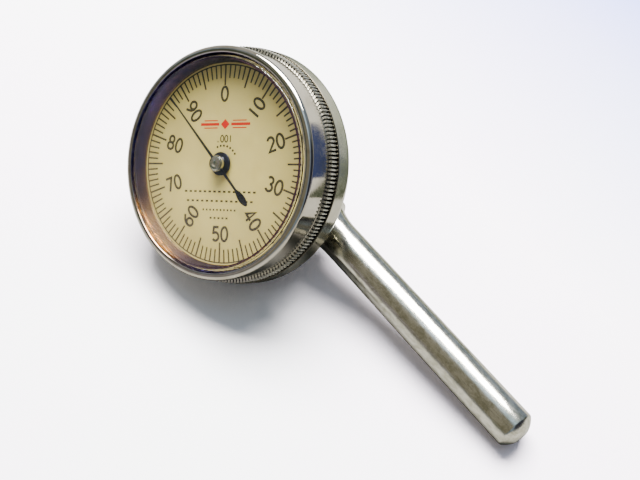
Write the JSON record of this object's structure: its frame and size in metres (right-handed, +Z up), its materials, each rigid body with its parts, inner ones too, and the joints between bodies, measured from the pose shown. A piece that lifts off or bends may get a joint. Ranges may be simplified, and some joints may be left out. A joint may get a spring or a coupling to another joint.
{
  "type": "dial indicator",
  "caption": "Back-plunger dial indicator with a round polished bezel, a graduated dial under a clear crystal, a geared pointer and a plain round holding stem.",
  "frame": {"origin": "on the floor under the middle of the box round the indicator as it lies", "axes": "+Z up; +X horizontal, the way the holding stem points away from the head; the dial faces up and towards -Y; the indicator lies on its stem end, case rim and contact point"},
  "size_m": [0.0786, 0.0352, 0.0343],
  "materials": {
    "polished_bezel": "polished nickel plate, mirror bright",
    "satin_case": "satin nickel plate, lightly worn",
    "ground_stem": "ground and plated steel, fine scratches along it",
    "hardened_steel": "hardened and ground steel",
    "movement_brass": "machined brass",
    "blued_steel": "blued and lacquered steel",
    "printed_dial": "cream enamel with printed black graduations",
    "clear_crystal": "clear moulded crystal with a rounded shoulder",
    "ruby_jewel": "polished synthetic ruby"
  },
  "bodies": {
    "case": {"bezel_spring": "hardened_steel", "case_body": "satin_case", "rear_housing": "satin_case", "holding_stem": "ground_stem", "plunger_barrel": "hardened_steel", "guide_post": "movement_brass", "return_spring": "hardened_steel", "spring_anchor": "hardened_steel", "shaft_post_left": "movement_brass", "shaft_post_right": "movement_brass", "hairspring": "movement_brass", "hairspring_stud": "movement_brass", "front_plate": "movement_brass", "rear_plate": "movement_brass", "centre_bush_front": "ruby_jewel", "centre_bush_rear": "ruby_jewel", "pillar_1": "movement_brass", "pillar_2": "movement_brass", "pillar_3": "movement_brass", "front_screw_1": "hardened_steel", "front_screw_2": "hardened_steel", "front_screw_3": "hardened_steel", "back_screw_1": "hardened_steel", "back_screw_2": "hardened_steel", "back_screw_3": "hardened_steel"},
    "bezel": {"bezel_ring": "polished_bezel", "crystal": "clear_crystal", "dial_plate": "printed_dial", "dial_clip": "hardened_steel"},
    "plunger": {"plunger": "hardened_steel", "contact_point": "hardened_steel", "guide_pin": "hardened_steel"},
    "cross_shaft": {"cross_shaft": "hardened_steel", "rack_pinion": "movement_brass", "crown_wheel": "movement_brass"},
    "intermediate": {"intermediate_arbor": "hardened_steel", "intermediate_pinion": "movement_brass", "intermediate_gear": "movement_brass"},
    "centre": {"centre_arbor": "hardened_steel", "centre_pinion": "hardened_steel", "pointer": "blued_steel", "pointer_cap": "hardened_steel"},
    "takeup": {"takeup_arbor": "hardened_steel", "takeup_gear": "movement_brass", "hairspring_collet": "movement_brass"}
  },
  "joints": [
    {"name": "plunger_slide", "type": "slide", "parent": "case", "child": "plunger", "axis": [0.0716, -0.744, 0.6643], "range_m": [0, 0.00508], "stiffness_N_per_m": 150, "springref_m": -0.0067, "deforming": ["return_spring"]},
    {"name": "cross_shaft_turn", "type": "hinge", "parent": "case", "child": "cross_shaft", "pos_m": [-0.01906, 0.00473, 0.00864], "axis": [0.8104, 0.4316, 0.3961], "range_deg": [0, 160.1]},
    {"name": "intermediate_turn", "type": "hinge", "parent": "case", "child": "intermediate", "pos_m": [-0.01405, -0.00003, 0.01707], "axis": [0.0716, -0.744, 0.6643], "range_deg": [0, 240.1]},
    {"name": "pointer_turn", "type": "hinge", "parent": "case", "child": "centre", "pos_m": [-0.01996, -0.00095, 0.01667], "axis": [-0.0716, 0.744, -0.6643], "range_deg": [0, 720.1]},
    {"name": "takeup_turn", "type": "hinge", "parent": "case", "child": "takeup", "pos_m": [-0.02588, -0.00188, 0.01628], "axis": [0.0716, -0.744, 0.6643], "range_deg": [0, 240.1]},
    {"name": "bezel_turn", "type": "hinge", "parent": "case", "child": "bezel", "pos_m": [-0.01972, -0.00348, 0.01893], "axis": [0.0716, -0.744, 0.6643], "continuous": true}
  ],
  "couplings": [
    {"joint": "cross_shaft_turn", "follows": "plunger_slide", "rad_per_m": 549.71},
    {"joint": "intermediate_turn", "follows": "plunger_slide", "rad_per_m": 824.57},
    {"joint": "pointer_turn", "follows": "plunger_slide", "rad_per_m": 2473.7},
    {"joint": "takeup_turn", "follows": "plunger_slide", "rad_per_m": 824.57}
  ]
}
